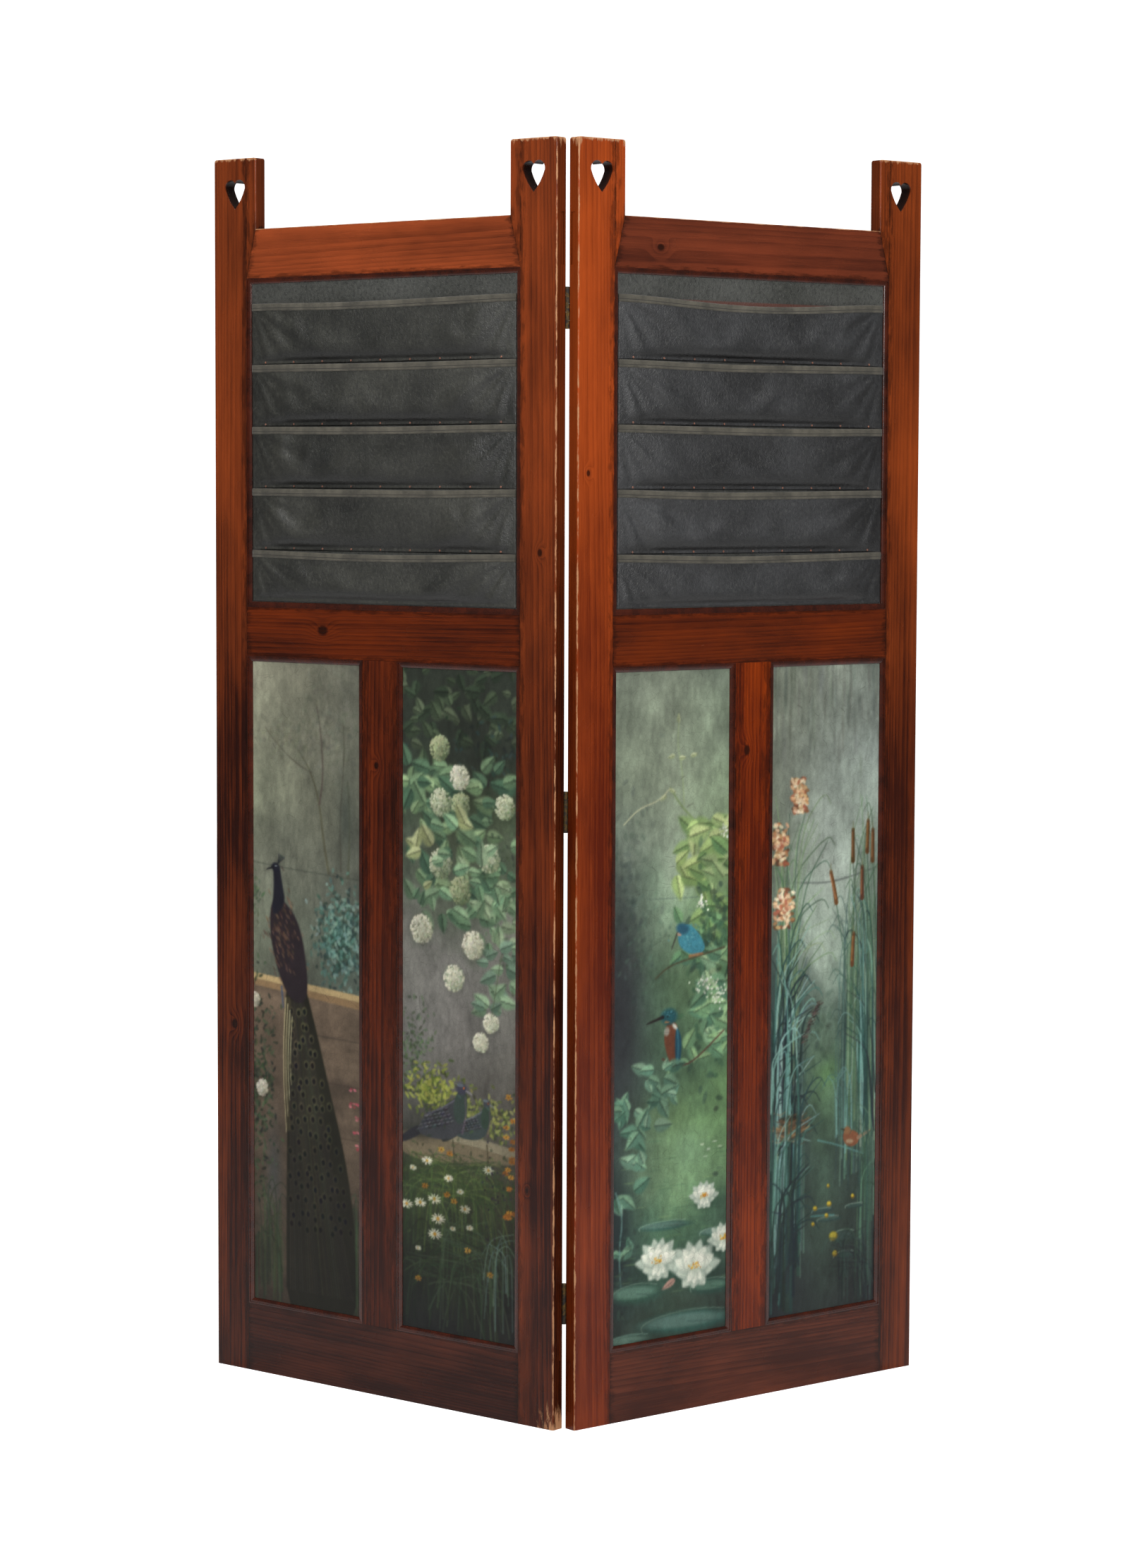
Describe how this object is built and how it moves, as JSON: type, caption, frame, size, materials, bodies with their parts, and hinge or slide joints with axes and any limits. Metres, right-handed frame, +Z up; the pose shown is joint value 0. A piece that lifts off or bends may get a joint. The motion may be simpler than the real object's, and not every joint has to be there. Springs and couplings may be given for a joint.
{
  "type": "two-fold draught screen",
  "caption": "Hinged two-leaf folding screen of stained wood with pierced horns, cloth letter pockets above and painted boards below.",
  "frame": {"origin": "on the floor, in the middle of the standing screen", "axes": "+Z up, +X to the right along the open screen, and the fold points towards -Y, where the viewer stands"},
  "size_m": [1.0426, 0.431, 1.8],
  "materials": {
    "frame_pine": "red-brown stained pine under old varnish, satin",
    "moulding_pine": "stained and varnished pine moulding, satin",
    "bead_pine": "stained pine bead, dull",
    "plain_board": "thin board, unvarnished",
    "painted_board": "oil painted on thin board, soft varnish gloss",
    "leathercloth": "black-green grained leathercloth, soft sheen",
    "lining_cloth": "leathercloth backing",
    "binding_tape": "woven cotton tape, olive grey",
    "tack_copper": "coppered tack heads",
    "hinge_brass": "dark aged brass"
  },
  "bodies": {
    "left_leaf": {"bottom_hinge_pin": "hinge_brass", "left_bottom_hinge_leaf": "hinge_brass", "left_bottom_rail": "frame_pine", "left_hinge_screws": "hinge_brass", "left_inner_stile": "frame_pine", "left_lower_back_bead_inner": "bead_pine", "left_lower_back_bead_outer": "bead_pine", "left_lower_moulding_inner": "moulding_pine", "left_lower_moulding_outer": "moulding_pine", "left_middle_hinge_leaf": "hinge_brass", "left_middle_rail": "frame_pine", "left_muntin": "frame_pine", "left_outer_stile": "frame_pine", "left_painted_panel_inner": "painted_board", "left_painted_panel_outer": "painted_board", "left_pocket_1": "leathercloth", "left_pocket_2": "leathercloth", "left_pocket_3": "leathercloth", "left_pocket_4": "leathercloth", "left_pocket_5": "leathercloth", "left_pocket_backing_cloth": "lining_cloth", "left_pocket_bindings": "binding_tape", "left_pocket_board": "plain_board", "left_pocket_tacks": "tack_copper", "left_top_hinge_leaf": "hinge_brass", "left_top_rail": "frame_pine", "left_upper_back_bead": "bead_pine", "left_upper_moulding": "moulding_pine", "middle_hinge_pin": "hinge_brass", "top_hinge_pin": "hinge_brass"},
    "right_leaf": {"right_bottom_hinge_leaf": "hinge_brass", "right_bottom_rail": "frame_pine", "right_hinge_screws": "hinge_brass", "right_inner_stile": "frame_pine", "right_lower_back_bead_inner": "bead_pine", "right_lower_back_bead_outer": "bead_pine", "right_lower_moulding_inner": "moulding_pine", "right_lower_moulding_outer": "moulding_pine", "right_middle_hinge_leaf": "hinge_brass", "right_middle_rail": "frame_pine", "right_muntin": "frame_pine", "right_outer_stile": "frame_pine", "right_painted_panel_inner": "painted_board", "right_painted_panel_outer": "painted_board", "right_pocket_1": "leathercloth", "right_pocket_2": "leathercloth", "right_pocket_3": "leathercloth", "right_pocket_4": "leathercloth", "right_pocket_5": "leathercloth", "right_pocket_backing_cloth": "lining_cloth", "right_pocket_bindings": "binding_tape", "right_pocket_board": "plain_board", "right_pocket_tacks": "tack_copper", "right_top_hinge_leaf": "hinge_brass", "right_top_rail": "frame_pine", "right_upper_back_bead": "bead_pine", "right_upper_moulding": "moulding_pine"}
  },
  "joints": [
    {"name": "leaf_fold", "type": "hinge", "parent": "left_leaf", "child": "right_leaf", "pos_m": [0, -0.19972, 0.87], "axis": [0, 0, 1], "range_deg": [-78.8, 101.2]}
  ]
}
